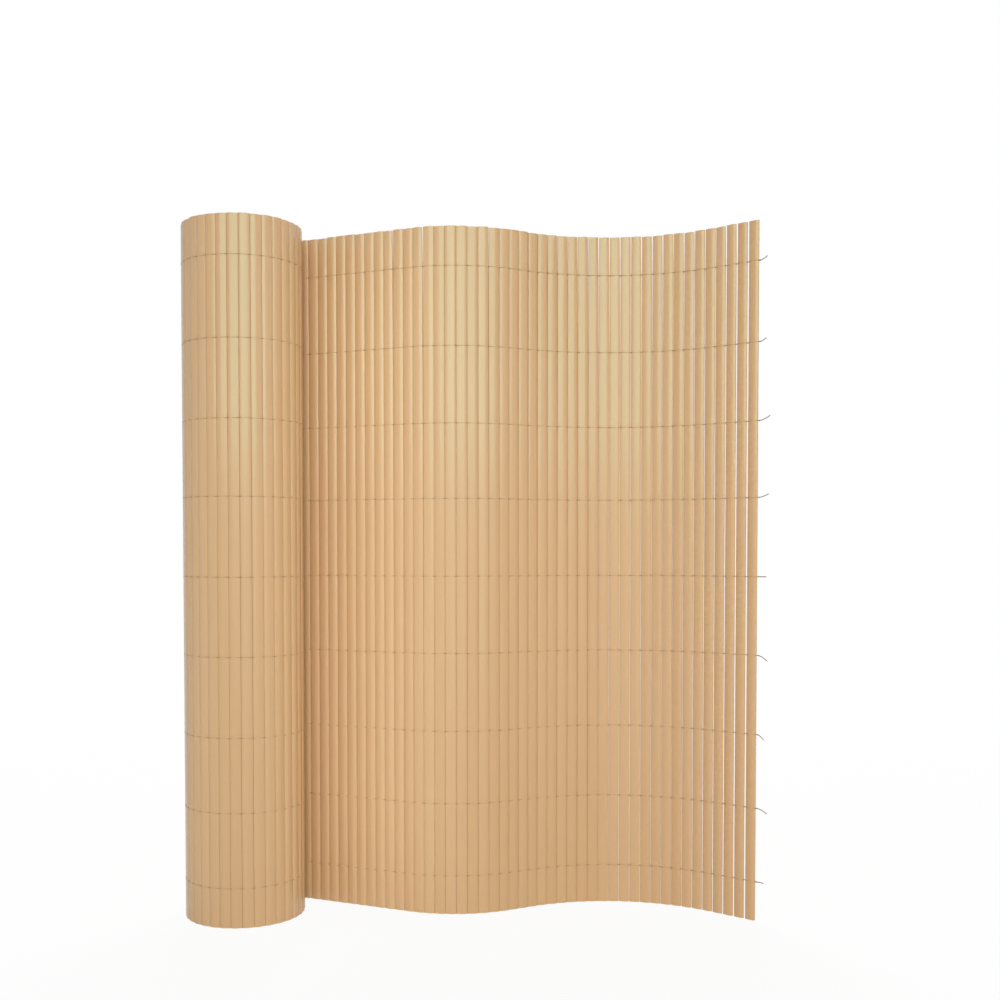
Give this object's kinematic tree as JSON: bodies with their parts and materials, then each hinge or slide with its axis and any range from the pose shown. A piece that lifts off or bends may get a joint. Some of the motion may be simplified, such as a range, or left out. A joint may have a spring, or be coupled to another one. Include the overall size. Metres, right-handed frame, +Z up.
{
  "type": "pvc screening mat",
  "caption": "Partly unrolled privacy screening mat of upright hollow plastic slats held side by side by rows of stitched thread, standing on edge for a balcony or fence.",
  "frame": {"origin": "on the floor, under the middle of the whole mat's box", "axes": "+Z up along the slats, +X from the roll towards the free end of the unrolled run, +Y to the back"},
  "size_m": [0.7566, 0.1574, 0.9],
  "materials": {
    "slat_pvc": "satin extruded plastic, beige",
    "stitch_thread": "twisted synthetic thread, khaki"
  },
  "bodies": {
    "root": {"roll": "slat_pvc", "slat_01": "slat_pvc", "slat_02": "slat_pvc", "slat_03": "slat_pvc", "slat_04": "slat_pvc", "slat_05": "slat_pvc", "slat_06": "slat_pvc", "slat_07": "slat_pvc", "slat_08": "slat_pvc", "slat_09": "slat_pvc", "slat_10": "slat_pvc", "slat_11": "slat_pvc", "slat_12": "slat_pvc", "slat_13": "slat_pvc", "slat_14": "slat_pvc", "slat_15": "slat_pvc", "slat_16": "slat_pvc", "slat_17": "slat_pvc", "slat_18": "slat_pvc", "slat_19": "slat_pvc", "slat_20": "slat_pvc", "slat_21": "slat_pvc", "slat_22": "slat_pvc", "slat_23": "slat_pvc", "slat_24": "slat_pvc", "slat_25": "slat_pvc", "slat_26": "slat_pvc", "slat_27": "slat_pvc", "slat_28": "slat_pvc", "slat_29": "slat_pvc", "slat_30": "slat_pvc", "slat_31": "slat_pvc", "slat_32": "slat_pvc", "slat_33": "slat_pvc", "slat_34": "slat_pvc", "slat_35": "slat_pvc", "slat_36": "slat_pvc", "slat_37": "slat_pvc", "slat_38": "slat_pvc", "slat_39": "slat_pvc", "slat_40": "slat_pvc", "slat_41": "slat_pvc", "slat_42": "slat_pvc", "slat_43": "slat_pvc", "slat_44": "slat_pvc", "slat_45": "slat_pvc", "slat_46": "slat_pvc", "slat_47": "slat_pvc", "slat_48": "slat_pvc", "stitch_thread_1": "stitch_thread", "stitch_thread_2": "stitch_thread", "stitch_thread_3": "stitch_thread", "stitch_thread_4": "stitch_thread", "stitch_thread_5": "stitch_thread", "stitch_thread_6": "stitch_thread", "stitch_thread_7": "stitch_thread", "stitch_thread_8": "stitch_thread", "stitch_thread_9": "stitch_thread"}
  },
  "joints": []
}
